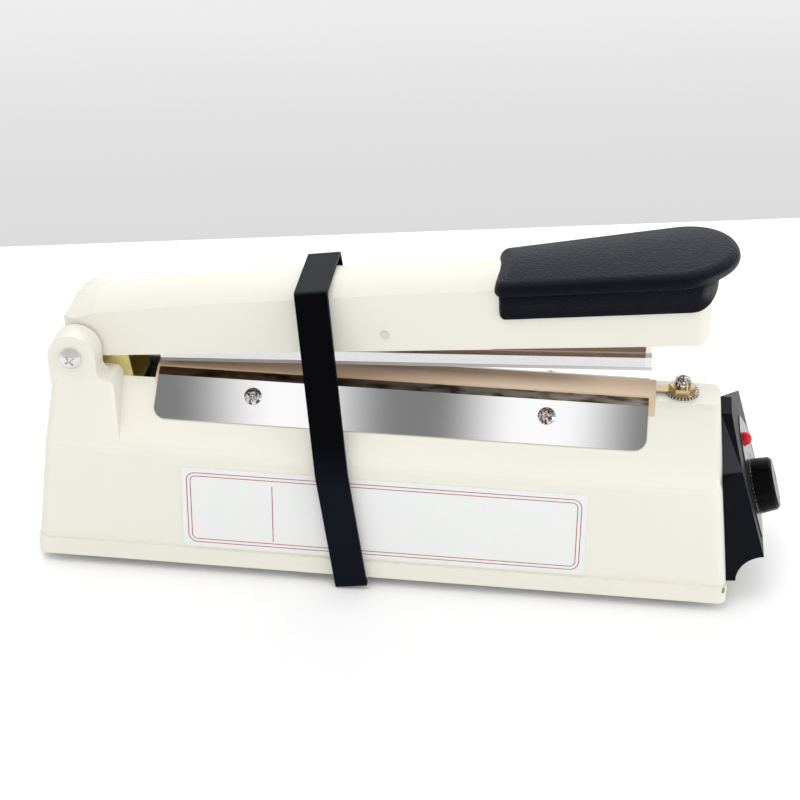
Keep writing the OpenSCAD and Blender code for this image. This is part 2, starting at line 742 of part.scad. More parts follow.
grip_fit = 0.12;
module handle_grip() color(charcoal) on_arm() difference() {
    union() {
        grip_slab();
        intersection() {
            across(-skirt_y, skirt_y) skirt_side();
            translate([grip_x, -skirt_y, -arm_w])
                rounded_block([skirt_end - grip_x, 2 * skirt_y, 4 * arm_w], plan_round);
        }
    }
    translate([0, 0, shoulder_z + grip_fit]) rotate([0, -upper_a, 0])
        along(grip_x - 2 * lip_t, (tail_x + 3 * grip_fit) / cos(upper_a)) arm_section(1);
    translate([0, -arm_w / 2 - grip_fit, -arm_w]) cube([arm_l + grip_fit, arm_w + 2 * grip_fit, arm_w + lower_z(0)]);
    across(-arm_w / 2 - grip_fit, arm_w / 2 + grip_fit) polygon([
        [grip_x - 4, 0], [arm_l + grip_fit, 0],
        [arm_l + grip_fit, shoulder_line(arm_l) - tail_drop + grip_fit],
        [grip_x - 4, shoulder_line(grip_x - 4) - tail_drop + grip_fit]]);
}

// Press bar ----------------------------------------------------------------------------
bar_left = jaw_left - hinge_x;
bar_right = bar_left + plate_l;
pad_low = jaw_z + jaw_gap - hinge_z;
bar_low = pad_low + pad_t;
bar_top = bar_low + bar_band_h + bar_channel_h;
pad_in = 1;
module silicone_strip() color("gainsboro") on_arm()
    translate([bar_left, pad_in - bar_w / 2, pad_low]) cube([plate_l, bar_w - 2 * pad_in, pad_t]);

bar_step = 2;
bar_wall = 1.5;
module press_bar() color([0.86, 0.87, 0.88]) on_arm() along(bar_left, bar_right) symmetric([
    [bar_w / 2, bar_low], [bar_w / 2, bar_low + bar_band_h], [bar_w / 2 - bar_step, bar_low + bar_band_h],
    [bar_w / 2 - bar_step, bar_top], [bar_w / 2 - bar_step - bar_wall, bar_top],
    [bar_w / 2 - bar_step - bar_wall, bar_low + bar_band_h - bar_wall]]);

saddle_l = 26;
saddle_t = 1.2;
saddle_y = channel_y - 1.7;
module bar_bracket() color(steel) on_arm() difference() {
    union() {
        translate([pin_x - saddle_l / 2, -saddle_y, bar_top]) cube([saddle_l, 2 * saddle_y, saddle_t]);
        both_sides() across(saddle_y - saddle_t, saddle_y) polygon(concat(
            [[pin_x + saddle_l / 2, bar_top]],
            arc([pin_x, pin_z], 2 * pin_r, 30, 150, 12),
            [[pin_x - saddle_l / 2, bar_top]]));
    }
    cross_pin(pin_x, pin_z, -arm_w, arm_w, pin_r + run_fit);
}

module press_bar_pin() color(steel) on_arm() cross_pin(pin_x, pin_z, -arm_w / 2 - 0.3, arm_w / 2 + 0.3, pin_r);

// Return spring ------------------------------------------------------------------------
spring_x = 13;
spring_y = 6;
spring_r = 4;
wire_r = 0.6;
spring_turns = 6;
web_low = hinge_z + (lever_low - lever_t) * cos(rest_a) + (spring_x - spring_r - 1) * sin(rest_a);
spring_l = web_low - shelf_top - 0.15;
ring_steps = 20;
wire_sides = 8;
module return_spring() color("silver") in_frame() translate([hinge_x + spring_x, -spring_y, shelf_top + wire_r]) {
    steps = spring_turns * ring_steps;
    climb = spring_l - 2 * wire_r;
    points = [for (i = [0 : steps], k = [0 : wire_sides - 1])
        let (a = 360 * i / ring_steps, b = 360 * k / wire_sides, r = spring_r + wire_r * cos(b))
        [r * cos(a), r * sin(a), climb * i / steps + wire_r * sin(b)]];
    sides = [for (i = [0 : steps - 1], k = [0 : wire_sides - 1])
        let (n = (k + 1) % wire_sides, here = i * wire_sides, there = here + wire_sides)
        [here + k, here + n, there + n, there + k]];
    ends = [[for (k = [wire_sides - 1 : -1 : 0]) k], [for (k = [0 : wire_sides - 1]) steps * wire_sides + k]];
    polyhedron(points, concat(sides, ends));
}

// Electrics ----------------------------------------------------------------------------
switch_size = [27.8, 10.3, 15.9];
plunger_r = 1.6;
plunger_travel = 1.2;
plunger_top = hinge_z + lever_low - lever_t - 0.3;
switch_x = hinge_x + 9;
switch_y = 6.4;
module micro_switch() color([0.14, 0.14, 0.15]) in_frame() difference() {
    translate([switch_x - switch_size[0] / 2, switch_y - switch_size[1] / 2, shelf_top]) cube(switch_size);
    translate([switch_x, switch_y, plunger_top - 6 - plunger_travel]) cylinder(r = plunger_r + run_fit, h = 20);
    for (end = [-1, 1]) cross_pin(switch_x + end * 11.1, shelf_top + 3, 0, 2 * switch_size[1], 1.55);
}
module switch_plunger() color("firebrick") in_frame()
    translate([switch_x, switch_y, plunger_top - 6]) cylinder(r = plunger_r, h = 6);

core_size = [57, 24, 48];
core_x = -30;
coil_size = [36, 42, 34];
module transformer_core() color([0.35, 0.36, 0.38]) in_frame() translate([core_x - core_size[0] / 2, 0, floor_z]) difference() {
    union() {
        translate([0, -core_size[1] / 2, 0]) cube(core_size);
        translate([-8, -core_size[1] / 2, 0]) cube([core_size[0] + 16, core_size[1], 1.5]);
    }
    for (x = [9.5, core_size[0] - 19]) translate([x, -core_size[1], (core_size[2] - 34.4) / 2]) cube([9.5, 2 * core_size[1], 34.4]);
}
module transformer_coil() color([0.62, 0.42, 0.18]) in_frame() translate([core_x, 0, floor_z + core_size[2] / 2]) difference() {
    cube([core_size[0] - 19.2, coil_size[1], coil_size[2]], center = true);
    cube([core_size[0] - 37.8, core_size[1] + 0.2, coil_size[2] + 2], center = true);
}

board_size = [62, 46, 1.6];
board_x = 60;
module at_board_corners() {
    for (sx = [-1, 1], sy = [-1, 1]) translate([board_x + board_size[0] / 2 + sx * (board_size[0] / 2 - 4),
        sy * (board_size[1] / 2 - 4), 0]) children();
}
module timer_board() color([0.12, 0.42, 0.22]) in_frame() translate([board_x, -board_size[1] / 2, floor_z + board_stand]) {
    cube(board_size);
    translate([6, 6, board_size[2]]) cube([19, 15.5, 15.5]);
    translate([34, 8, board_size[2]]) cube([26, 10, 14]);
    translate([14, 34, board_size[2]]) cylinder(r = 5, h = 14);
    translate([30, 34, board_size[2]]) cylinder(r = 5, h = 14);
    translate([44, 30, board_size[2]]) cube([14, 4, 16]);
}

// Control panel ------------------------------------------------------------------------
panel_wall = 2.2;
panel_low = rim_h + 0.5;
// Outlines of the panel against the end wall and at its face: half width and height
ridge_y = 7;
ridge_reach = 4.6;      // how far the flat ridge on top runs out from the end wall
back_half = [[half_w - 5.5, panel_low], [half_w - 6, crease_z + 0.7], [ridge_y, panel_top]];
face_half = [[half_w - 7, panel_low], [half_w - 7, crease_z + 6.1], [ridge_y, panel_top - 7.4]];
function slid(half, lean, inset, lift) =
    [for (p = half) [p[0] - inset, (p[1] + (p[1] < lift ? inset : -inset)) / cos(lean)]];

module panel_form(inset, back, front) {
    hull() {
        translate([right_wall_x(rim_h) + rim_h * tan(right_lean), 0, 0]) rotate([0, -right_lean, 0])
            along(back, back + slit) symmetric(slid(back_half, right_lean, inset, crease_z / 2));
        translate([face_x(0), 0, 0]) rotate([0, -face_a, 0])
            along(front - slit, front) symmetric(slid(face_half, face_a, inset, crease_z / 2));
        translate([right_wall_x(panel_top) + ridge_reach + front / 2 - slit, inset - ridge_y, panel_top - inset - slit])
            cube([slit, 2 * (ridge_y - inset), slit]);
    }
}

// Hollow under the panel's foot, drawn out by a thickness
arch_r = 11.5;
arch_step_z = 13.9;
module panel_arch(out) {
    cross_pin(face_foot_x + 0.5, face_foot_z - arch_r + 0.3, -half_w, half_w, arch_r + out);
    translate([face_foot_x - 10.2 - out, -half_w, -past]) cube([2 * arch_r + out, base_w, arch_step_z + out + past]);
}

panel_screw_y = 24;
panel_screw_z = 30;
boss_r = 4;
module control_panel() color(charcoal) in_frame() difference() {
    union() {
        difference() {
            panel_form(0, snug, 0);
            difference() {
                panel_form(panel_wall, -past, -panel_wall);
                panel_arch(panel_wall);
            }
        }
        intersection() {
            panel_form(0, snug, 0);
            for (side = [-1, 1]) on_end_wall(side * panel_screw_y, panel_screw_z)
                translate([snug, 0, 0]) rotate([0, 90, 0]) cylinder(r = boss_r, h = panel_d);
        }
    }
    panel_arch(0);
    on_face(0, knob_z, -2 * panel_wall) rotate([0, 90, 0]) cylinder(r = bush_r + hole_fit, h = 4 * panel_wall);
    on_face(0, lamp_z, -2 * panel_wall) rotate([0, 90, 0]) cylinder(r = lamp_r + hole_fit, h = 4 * panel_wall);
    for (side = [-1, 1]) on_end_wall(side * panel_screw_y, panel_screw_z)
        rotate([0, 90, 0]) cylinder(r = screw_r - snug, h = panel_d - 8);
}

module panel_screws() color(steel) in_frame() for (side = [-1, 1])
    on_end_wall(side * panel_screw_y, panel_screw_z) translate([-wall - 0.1, 0, 0]) rotate([0, -90, 0])
        pan_screw(2.8, 1.8, screw_r - 2 * snug, panel_d - 10);

dial_low = 23.5;
module dial_plate() color([0.62, 0.63, 0.65]) in_frame() difference() {
    on_face(0, dial_low, 0) along(slit / 2, dial_t) polygon(concat(
        arc([21, 3], 3, 270, 360), arc([18, 26], 6, 0, 50), arc([5, 42.4], 3, 40, 90),
        arc([-5, 42.4], 3, 90, 140), arc([-18, 26], 6, 130, 180), arc([-21, 3], 3, 180, 270)));
    on_face(0, knob_z, -past) rotate([0, 90, 0]) cylinder(r = bush_r + hole_fit, h = 4 * past);
    on_face(0, lamp_z, -past) rotate([0, 90, 0]) cylinder(r = lamp_r + hole_fit, h = 4 * past);
}

lamp_out = 1;           // middle of the lamp's round end above the panel's face
module indicator_lamp() color([0.85, 0.08, 0.06, 1]) in_frame() on_face(0, lamp_z, 0) rotate([0, 90, 0]) {
    translate([0, 0, -8]) cylinder(r = lamp_r, h = 8 + lamp_out);
    translate([0, 0, dial_t]) cylinder(r = lamp_r + 0.4, h = 0.5);
    translate([0, 0, lamp_out]) sphere(r = lamp_r);
}

bush_r = 3.4;
pot_shaft_r = 3;
pot_depth = 9;
module potentiometer() color([0.5, 0.5, 0.52]) in_frame() on_face(0, knob_z, -panel_wall) rotate([0, 90, 0]) difference() {
    union() {
        translate([0, 0, -pot_depth]) cylinder(r = 8, h = pot_depth);
        cylinder(r = bush_r, h = panel_wall + dial_t);
        translate([-11, -6, -pot_depth + 2]) cube([22, 12, 1.6]);
    }
    translate([0, 0, -pot_depth + 2]) cylinder(r = pot_shaft_r + run_fit, h = 2 * pot_depth);
}

module potentiometer_shaft() color(steel) in_frame() on_face(0, knob_z, -panel_wall) rotate([0, 90, 0])
    translate([0, 0, 2.2 - pot_depth]) cylinder(r = pot_shaft_r, h = pot_depth - 2.2 + panel_wall + dial_t + knob_gap + 5);

knob_rim = 1.2;
grip_cuts = 24;
module timer_knob() color(charcoal) in_frame() on_face(0, knob_z, dial_t + knob_gap) rotate([0, 90, 0]) difference() {
    rotate_extrude() polygon([
        [0, 0], [knob_r, 0], [knob_r - 0.6, knob_h - knob_rim], [knob_r - 0.6 - knob_rim, knob_h],
        [0, knob_h]]);
    translate([0, 0, -past]) cylinder(r = pot_shaft_r + snug, h = 6 + past + snug);
    for (i = [0 : grip_cuts - 1]) rotate([0, 0, i * 360 / grip_cuts])
        translate([knob_r + 0.2, 0, 1]) cylinder(r = 0.6, h = knob_h);
    translate([-0.6, 2, knob_h - 0.6]) cube([1.2, knob_r, past]);
}

// Trim ---------------------------------------------------------------------------------
module cord_grommet() color(charcoal) in_frame() translate([left_wall_x(grommet_z), 0, grommet_z])
    rotate([0, -90 + left_lean, 0]) difference() {
        union() {
            translate([0, 0, -wall - 1.6]) cylinder(r = grommet_r - 0.2, h = wall + 2);
            translate([0, 0, 0.25]) cylinder(r = grommet_r + 2, h = 1.6);
        }
        translate([0, 0, -wall - 3]) cylinder(r = 3.3, h = wall + 8);
    }

label_t = 0.3;
label_lift = 1;         // gap of the label over the rim
module label_plate() color("white") in_frame() translate([label_x, -wall_y(rim_h + label_lift), rim_h + label_lift])
    rotate([90 - atan(wall_rise), 0, 0]) translate([0, 0, slit]) rounded_block([label_l, label_h, label_t], 1);

// Transport clip -----------------------------------------------------------------------
clip_seat = 0.5;        // gap between the strap and the arm's crown
clip_half = 19.3;
clip_lip = 5.5;
clip_toe = 1.5;         // how far the toe hooks in from the strap
clip_knee_y = crease_w / 2 + 5.6;
clip_knee = 74;
clip_tilt = rest_a + upper_a + clip_lean;
clip_seat_z = hinge_z + (shoulder_line(clip_x) + crown_h) * cos(rest_a) + clip_x * sin(rest_a);
clip_drop = (clip_seat_z + foot_h - clip_clear - clip_w / 2 * sin(clip_tilt)) / cos(clip_tilt);
module clip_outline() {
    toe_y = half_w + clip_rim_gap;
    foot_y = toe_y + clip_toe + clip_t;
    top = clip_seat + clip_t;
    polygon(concat(
        [[clip_half, -clip_lip]],
        arc([clip_half - 2, top - 2], 2, 0, 90, 4),
        arc([2 - clip_half, top - 2], 2, 90, 165, 4),
        [[-clip_knee_y, -clip_knee], [-foot_y, -clip_drop], [-toe_y, -clip_drop], [-toe_y, clip_t - clip_drop],
            [clip_t - foot_y, clip_t - clip_drop], [clip_t - clip_knee_y, -clip_knee]],
        [[clip_t + 0.6 - clip_half, clip_seat - 1.4], [clip_t + 1.6 - clip_half, clip_seat],
            [clip_half - clip_t - 0.6, clip_seat], [clip_half - clip_t, clip_seat - 0.6], [clip_half - clip_t, -clip_lip]]));
}
module transport_clip() color(charcoal) on_arm() translate([clip_x, 0, shoulder_line(clip_x) + crown_h])
    rotate([0, -upper_a - clip_lean, 0]) along(-clip_w / 2, clip_w / 2) clip_outline();

base_housing();
bottom_plate();
rubber_feet();
bottom_screws();
seal_platform();
insulation_strip();
heating_element();
element_tabs();
terminal_washers();
terminal_nuts();
terminal_screws();
ptfe_cloth();
front_cover_plate();
rear_cover_plate();
cover_plate_screws();
hinge_bolt();
hinge_nut();
hinge_washers();
arm_shell();
lever_bracket();
handle_grip();
press_bar();
bar_bracket();
silicone_strip();
press_bar_pin();
return_spring();
micro_switch();
switch_plunger();
transformer_core();
transformer_coil();
timer_board();
potentiometer();
potentiometer_shaft();
control_panel();
dial_plate();
timer_knob();
indicator_lamp();
panel_screws();
cord_grommet();
label_plate();
transport_clip();
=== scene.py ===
import bpy, math
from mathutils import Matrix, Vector


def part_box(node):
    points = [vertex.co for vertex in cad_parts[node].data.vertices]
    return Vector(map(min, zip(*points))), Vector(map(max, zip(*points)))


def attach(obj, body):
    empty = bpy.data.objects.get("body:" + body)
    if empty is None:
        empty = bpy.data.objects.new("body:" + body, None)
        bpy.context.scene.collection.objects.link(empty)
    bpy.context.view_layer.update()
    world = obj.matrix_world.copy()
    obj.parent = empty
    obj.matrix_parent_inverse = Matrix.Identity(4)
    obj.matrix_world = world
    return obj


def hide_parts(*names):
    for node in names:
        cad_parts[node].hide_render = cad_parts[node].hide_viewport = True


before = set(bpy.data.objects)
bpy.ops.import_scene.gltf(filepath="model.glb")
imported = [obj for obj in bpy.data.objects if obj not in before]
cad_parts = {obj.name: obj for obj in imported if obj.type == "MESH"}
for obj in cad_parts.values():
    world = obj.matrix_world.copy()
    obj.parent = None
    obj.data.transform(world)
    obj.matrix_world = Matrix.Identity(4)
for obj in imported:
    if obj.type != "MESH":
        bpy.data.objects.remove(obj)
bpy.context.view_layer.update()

D = bpy.data
low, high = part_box("base_housing")
MID = -(low.x + high.x) / 2          # the base's middle lies this far left of the frame's origin
FOOT = low.z                         # the rim's edge above the table
REST = math.radians(2.87)            # the arm's tilt at rest


def here(x, y, z):
    """A point given in millimetres from the middle of the base's bottom edge."""
    return (x / 1000 - MID, y / 1000, z / 1000 + FOOT)


HINGE = Vector(here(-131.3, 0, 93.5))


def on_arm(x, y, z):
    """A point given in millimetres from the hinge, along the arm, across it and square to it."""
    x, z = x * math.cos(REST) - z * math.sin(REST), x * math.sin(REST) + z * math.cos(REST)
    return HINGE + Vector((x, y, z)) / 1000


# ---- objects -----------------------------------------------------------------------------
def link(obj):
    bpy.context.scene.collection.objects.link(obj)
    return obj


def mesh(name, verts, faces, material):
    me = D.meshes.new(name)
    me.from_pydata([tuple(v) for v in verts], [], faces)
    me.materials.append(material)
    return link(D.objects.new(name, me))


def solid(name, verts, faces, material, body):
    """A piece of the object that moves with a body and takes the given material."""
    o = mesh(name, verts, faces, material)
    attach(o, body)
    return o


def stage(name, corners, material):
    """One four-sided face of the surroundings."""
    o = mesh(name, corners, [(0, 1, 2, 3)], material)
    return o


def smooth(obj, most_sides=4):
    """Shades smoothly across all faces but the many-sided end caps."""
    obj.data.polygons.foreach_set("use_smooth", [len(f.vertices) <= most_sides for f in obj.data.polygons])


# ---- materials ---------------------------------------------------------------------------
def spread(nt, value, start, end):
    """0 at start, 1 at end, clamped."""
    mr = nt.nodes.new("ShaderNodeMapRange")
    mr.inputs["From Min"].default_value = start
    mr.inputs["From Max"].default_value = end
    nt.links.new(value, mr.inputs["Value"])
    return mr.outputs["Result"]


def graded(nt, value, start, end, stops, interpolation="LINEAR"):
    """Colour that runs through stops of (share, colour) while value runs from start to end."""
    cr = nt.nodes.new("ShaderNodeValToRGB")
    cr.color_ramp.interpolation = interpolation
    el = cr.color_ramp.elements
    for i in (0, -1):
        el[i].position, el[i].color = stops[i][0], (*stops[i][1], 1)
    for at, color in stops[1:-1]:
        el.new(at).color = (*color, 1)
    nt.links.new(spread(nt, value, start, end), cr.inputs["Fac"])
    return cr.outputs["Color"]


def plain(name, color, rough, spec=None):
    """Surface of one colour."""
    m = D.materials.new(name)
    m.use_nodes = True
    b = m.node_tree.nodes["Principled BSDF"]
    b.inputs["Base Color"].default_value = (*color, 1)
    b.inputs["Roughness"].default_value = rough
    if spec is not None:
        b.inputs["Specular IOR Level"].default_value = spec
    return m


def mat(name, color, rough=0.5, metal=0.0, grain=0.0, scale=900.0, rough_var=0.0, tint=0.0,
        stretch=(1, 1, 1), spec=None, distance=0.0004, detail=2.0):
    """Surface whose relief, roughness and colour vary with one noise in object coordinates."""
    m = plain(name, color, rough, spec)
    nt = m.node_tree
    b = nt.nodes["Principled BSDF"]
    b.inputs["Metallic"].default_value = metal
    tc = nt.nodes.new("ShaderNodeTexCoord")
    mp = nt.nodes.new("ShaderNodeMapping")
    mp.inputs["Scale"].default_value = stretch
    nt.links.new(tc.outputs["Object"], mp.inputs["Vector"])
    no = nt.nodes.new("ShaderNodeTexNoise")
    no.inputs["Scale"].default_value = scale
    no.inputs["Detail"].default_value = detail
    nt.links.new(mp.outputs["Vector"], no.inputs["Vector"])
    if grain:
        bu = nt.nodes.new("ShaderNodeBump")
        bu.inputs["Strength"].default_value = grain
        bu.inputs["Distance"].default_value = distance
        nt.links.new(no.outputs["Fac"], bu.inputs["Height"])
        nt.links.new(bu.outputs["Normal"], b.inputs["Normal"])
    if rough_var:
        mr = nt.nodes.new("ShaderNodeMapRange")
        mr.inputs["To Min"].default_value = max(rough - rough_var, 0.02)
        mr.inputs["To Max"].default_value = min(rough + rough_var, 1.0)
        nt.links.new(no.outputs["Fac"], mr.inputs["Value"])
        nt.links.new(mr.outputs["Result"], b.inputs["Roughness"])
    if tint:
        mx = nt.nodes.new("ShaderNodeMix")
        mx.data_type = "RGBA"
        mx.inputs["A"].default_value = (*[c * (1 - tint) for c in color], 1)
        mx.inputs["B"].default_value = (*[min(c * (1 + tint), 1) for c in color], 1)
        nt.links.new(no.outputs["Fac"], mx.inputs["Factor"])
        nt.links.new(mx.outputs["Result"], b.inputs["Base Color"])
    return m


def glow(name, axis, start, end, greys, interpolation="LINEAR", strength=1.0):
    """Light graded through stops of (share, grey) along one axis of the object."""
    m = D.materials.new(name)
    m.use_nodes = True
    nt = m.node_tree
    nt.nodes.clear()
    tc = nt.nodes.new("ShaderNodeTexCoord")
    sep = nt.nodes.new("ShaderNodeSeparateXYZ")
    nt.links.new(tc.outputs["Object"], sep.inputs[0])
    stops = [(at, (grey, grey, grey)) for at, grey in greys]
    em = nt.nodes.new("ShaderNodeEmission")
    em.inputs["Strength"].default_value = strength
    nt.links.new(graded(nt, sep.outputs[axis], start, end, stops, interpolation), em.inputs["Color"])
    out = nt.nodes.new("ShaderNodeOutputMaterial")
    nt.links.new(em.outputs[0], out.inputs["Surface"])
    return m


IVORY = dict(color=(0.745, 0.729, 0.645), rough=0.42, grain=0.05, scale=1400, rough_var=0.05, tint=0.01)
M = {
    "ivory": mat("ivory plastic", **IVORY),
    "base": mat("ivory base", **IVORY),
    "clip": mat("coated strap", (0.0012, 0.0012, 0.0022), rough=0.36, grain=0.05, rough_var=0.05, tint=0.08,
                spec=0.03),
    "grip": mat("soft grip", (0.0006, 0.0012, 0.0052), rough=0.42, grain=0.9, scale=820, rough_var=0.12,
                tint=0.25, spec=0.12, distance=0.0007, detail=4.0),
    "panel": mat("panel plastic", (0.0022, 0.0026, 0.0052), rough=0.42, grain=0.1, scale=1500, rough_var=0.06,
                 tint=0.1, spec=0.07),
    "knob": mat("knob plastic", (0.0008, 0.0008, 0.0014), rough=0.22, grain=0.03, scale=1500, rough_var=0.04,
                tint=0.1, spec=0.07),
    "polish": mat("polished steel", (0.78, 0.78, 0.78), rough=0.06, metal=1, grain=0.01, scale=300,
                  rough_var=0.02, stretch=(0.03, 1, 1)),
    "steel": mat("plated steel", (0.62, 0.62, 0.62), rough=0.3, metal=1, grain=0.03, scale=500,
                 rough_var=0.08, stretch=(0.05, 1, 1)),
    "screw": mat("bright screws", (0.74, 0.73, 0.72), rough=0.16, metal=1, grain=0.02, rough_var=0.06),
    "cap": mat("capped screws", (0.86, 0.83, 0.80), rough=0.12, metal=1, grain=0.02, rough_var=0.04),
    "washer": mat("serrated washers", (0.66, 0.65, 0.63), rough=0.22, metal=1, grain=0.02, rough_var=0.06),
    "bar": mat("bar aluminium", (0.72, 0.72, 0.73), rough=0.26, metal=1, grain=0.03, scale=700,
               rough_var=0.08, stretch=(0.02, 1, 1)),
    "brass": mat("brass", (0.62, 0.48, 0.27), rough=0.26, metal=1, grain=0.02, rough_var=0.06),
    "zinc": mat("yellow zinc", (0.72, 0.60, 0.26), rough=0.32, metal=1, grain=0.04, scale=260, rough_var=0.1,
                tint=0.12),
    "alloy": mat("element ribbon", (0.56, 0.53, 0.48), rough=0.25, metal=1, grain=0.02, rough_var=0.05),
    "ptfe": mat("coated cloth", (0.70, 0.54, 0.38), grain=0.3, scale=1600, rough_var=0.08, tint=0.06, spec=0.15),
    "silicone": mat("silicone", (0.56, 0.55, 0.52), rough=0.6, grain=0.1, tint=0.04),
    "rubber": mat("foot rubber", (0.02, 0.02, 0.02), rough=0.75, grain=0.2, tint=0.1),
    "inner": mat("inner plastic", (0.035, 0.035, 0.04), rough=0.45, grain=0.1, tint=0.1),
    "red": mat("red plastic", (0.58, 0.004, 0.004), rough=0.10, grain=0.01, scale=400, tint=0.05, spec=0.3),
    "board": mat("board laminate", (0.03, 0.18, 0.07), rough=0.4, grain=0.05, scale=600, tint=0.15),
    "coil": mat("wound coil", (0.42, 0.25, 0.08), rough=0.45, grain=0.4, scale=400, stretch=(1, 1, 6), tint=0.2),
    "core": mat("core steel", (0.20, 0.205, 0.22), metal=0.9, grain=0.4, scale=300, stretch=(0.05, 8, 0.05),
                tint=0.2),
    "label": mat("label film", (0.745, 0.755, 0.745), rough=0.3, grain=0.01, scale=300, rough_var=0.03,
                 tint=0.01),
    "dial": mat("dial sheet", (0.012, 0.012, 0.014), rough=0.22, grain=0.02, rough_var=0.05, tint=0.05, spec=0.3),
    "mark": mat("dial print", (0.62, 0.64, 0.62), grain=0.02, tint=0.05),
}


# ---- what is printed or marked, and painted light, shade and reflections -----------------
class Sums:
    """Arithmetic on the sockets of one material, in object coordinates."""

    def __init__(self, material):
        self.nt = material.node_tree
        self.shader = self.nt.nodes["Principled BSDF"]
        tc = self.nt.nodes.new("ShaderNodeTexCoord")
        sep = self.nt.nodes.new("ShaderNodeSeparateXYZ")
        self.nt.links.new(tc.outputs["Object"], sep.inputs[0])
        self.point = tc.outputs["Object"]
        self.x, self.y, self.z = sep.outputs

    def __call__(self, operation, *values):
        n = self.nt.nodes.new("ShaderNodeMath")
        n.operation = operation
        for i, v in enumerate(values):
            if isinstance(v, (int, float)):
                n.inputs[i].default_value = v
            else:
                self.nt.links.new(v, n.inputs[i])
        return n.outputs[0]

    def both(self, *masks):
        """Where all the masks hold."""
        whole = masks[0]
        for mask in masks[1:]:
            whole = self("MULTIPLY", whole, mask)
        return whole

    def normal(self):
        g = self.nt.nodes.new("ShaderNodeNewGeometry")
        sep = self.nt.nodes.new("ShaderNodeSeparateXYZ")
        self.nt.links.new(g.outputs["Normal"], sep.inputs[0])
        return sep.outputs

    def near(self, place, radius):
        n = self.nt.nodes.new("ShaderNodeVectorMath")
        n.operation = "DISTANCE"
        self.nt.links.new(self.point, n.inputs[0])
        n.inputs[1].default_value = place
        return self("LESS_THAN", n.outputs["Value"], radius)

    def share(self, value, start, end):
        return spread(self.nt, value, start, end)

    def cloud(self, stretch):
        """Patches of 0 and 1 with soft edges, some way apart along each axis."""
        mp = self.nt.nodes.new("ShaderNodeMapping")
        mp.inputs["Scale"].default_value = stretch
        self.nt.links.new(self.point, mp.inputs["Vector"])
        no = self.nt.nodes.new("ShaderNodeTexNoise")
        no.inputs["Scale"].default_value = 1.0
        no.inputs["Detail"].default_value = 3.0
        self.nt.links.new(mp.outputs["Vector"], no.inputs["Vector"])
        return self.share(no.outputs["Fac"], 0.42, 0.60)

    def ramp(self, value, start, end, stops):
        return graded(self.nt, value, start, end, stops)

    def mix(self, mask, color, how="MIX"):
        """Lays a colour, or a colour socket, over what feeds the shader's base colour."""
        mx = self.nt.nodes.new("ShaderNodeMix")
        mx.data_type = "RGBA"
        mx.blend_type = how
        target = self.shader.inputs["Base Color"]
        if target.links:
            self.nt.links.new(target.links[0].from_socket, mx.inputs["A"])
        else:
            mx.inputs["A"].default_value = target.default_value
        if isinstance(mask, (int, float)):
            mx.inputs["Factor"].default_value = mask
        else:
            self.nt.links.new(mask, mx.inputs["Factor"])
        if isinstance(color, tuple):
            mx.inputs["B"].default_value = (*color, 1)
        else:
            self.nt.links.new(color, mx.inputs["B"])
        self.nt.links.new(mx.outputs["Result"], target)


def print_label():
    """Blank label: two thin rounded borders and one upright divider."""
    f = Sums(M["label"])
    a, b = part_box("label_plate")
    inset, corner, gap, half_line = 0.0024, 0.0040, 0.0016, 0.00020
    divider_x, divider_low, divider_high = a.x + 0.0397, a.z + 0.0051, b.z - 0.0066

    def past_straight(value, start, end):
        """Distance past the straight run of the outer border, along one axis."""
        return f("SUBTRACT", f("ABSOLUTE", f("SUBTRACT", value, (start + end) / 2)),
                 (end - start) / 2 - inset - corner)

    def line(distance):
        return f("LESS_THAN", f("ABSOLUTE", distance), half_line)

    qx, qz = past_straight(f.x, a.x, b.x), past_straight(f.z, a.z, b.z)
    outside = f("SQRT", f("ADD", f("POWER", f("MAXIMUM", qx, 0.0), 2.0), f("POWER", f("MAXIMUM", qz, 0.0), 2.0)))
    border = f("SUBTRACT", f("ADD", outside, f("MINIMUM", f("MAXIMUM", qx, qz), 0.0)), corner)
    divider = f.both(line(f("SUBTRACT", f.x, divider_x)), f("GREATER_THAN", f.z, divider_low),
                     f("LESS_THAN", f.z, divider_high))
    lines = f("MAXIMUM", f("MAXIMUM", line(border), line(f("ADD", border, gap))), divider)
    f.mix(lines, (0.36, 0.055, 0.075))


def spot_base():
    """Ejector and vent pinholes on the panel end of the base."""
    f = Sums(M["base"])
    for place, radius in ((here(143, -36, 58.9), 0.0009), (here(149.7, -39.5, 6.1), 0.0011),
                          (here(149.7, -39.5, 7.2), 0.0010)):
        f.mix(f.near(place, radius), (0.24, 0.21, 0.13))


def paint_lip_reflections():
    """The plates' lips beside the jaw carry painted dark brown reflections, darkest at the hinge end."""
    f = Sums(M["polish"])
    a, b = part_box("front_cover_plate")
    lip = f("GREATER_THAN", f.normal()[2], 0.82)
    # painted reflection: dark brown at the hinge end, light at the free end
    f.mix(lip, f.ramp(f.x, a.x, b.x, [(0, (0.24, 0.12, 0.06)), (0.42, (0.17, 0.14, 0.115)),
                                      (1, (0.82, 0.77, 0.71))]))
    # painted mottling in the lips' reflection
    f.mix(f("MULTIPLY", lip, f.cloud((70, 260, 260))), (0.26, 0.22, 0.19), "MULTIPLY")
    roughness = f.shader.inputs["Roughness"]
    f.nt.links.new(f("ADD", f("MULTIPLY", lip, 0.25), roughness.links[0].from_socket), roughness)


